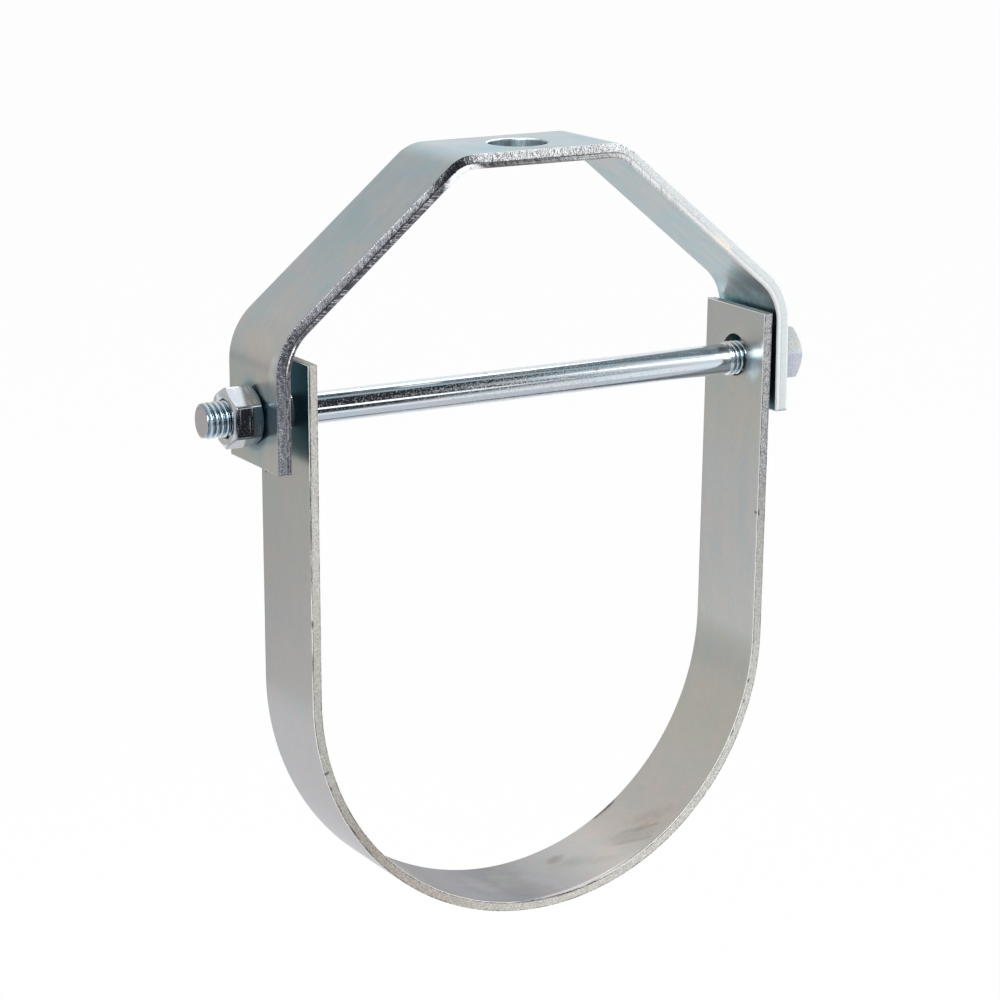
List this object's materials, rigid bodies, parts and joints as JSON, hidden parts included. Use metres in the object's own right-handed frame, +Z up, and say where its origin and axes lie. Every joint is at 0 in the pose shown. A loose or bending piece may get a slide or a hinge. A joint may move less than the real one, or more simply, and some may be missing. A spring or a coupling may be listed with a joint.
{
  "type": "clevis pipe hanger",
  "caption": "Adjustable clevis hanger for steel pipe: a folded strap yoke carries a U-shaped strap on a nutted cross rod, and hangs from a threaded rod through its top.",
  "frame": {"origin": "centre of the hanger rod hole, on the yoke's top face", "axes": "+Z up along the hanger rod, +X along the cross rod towards the nut at its flush end, -Y towards the viewer"},
  "size_m": [0.2411, 0.0382, 0.2798],
  "materials": {
    "strap": "satin bright zinc plating on folded steel strap, with bare sheared edges",
    "fastener": "bright zinc plating on the rod and the nuts"
  },
  "bodies": {
    "yoke": {"yoke": "strap"},
    "u_strap": {"u_strap": "strap"},
    "cross_rod": {"cross_rod": "fastener", "nut_left": "fastener", "nut_right": "fastener"}
  },
  "joints": [
    {"name": "strap_swing", "type": "hinge", "parent": "yoke", "child": "u_strap", "pos_m": [0, 0, -0.08654], "axis": [1, 0, 0], "range_deg": [-15, 15]},
    {"name": "rod_spin", "type": "hinge", "parent": "yoke", "child": "cross_rod", "pos_m": [0, 0, -0.08654], "axis": [1, 0, 0], "continuous": true}
  ]
}
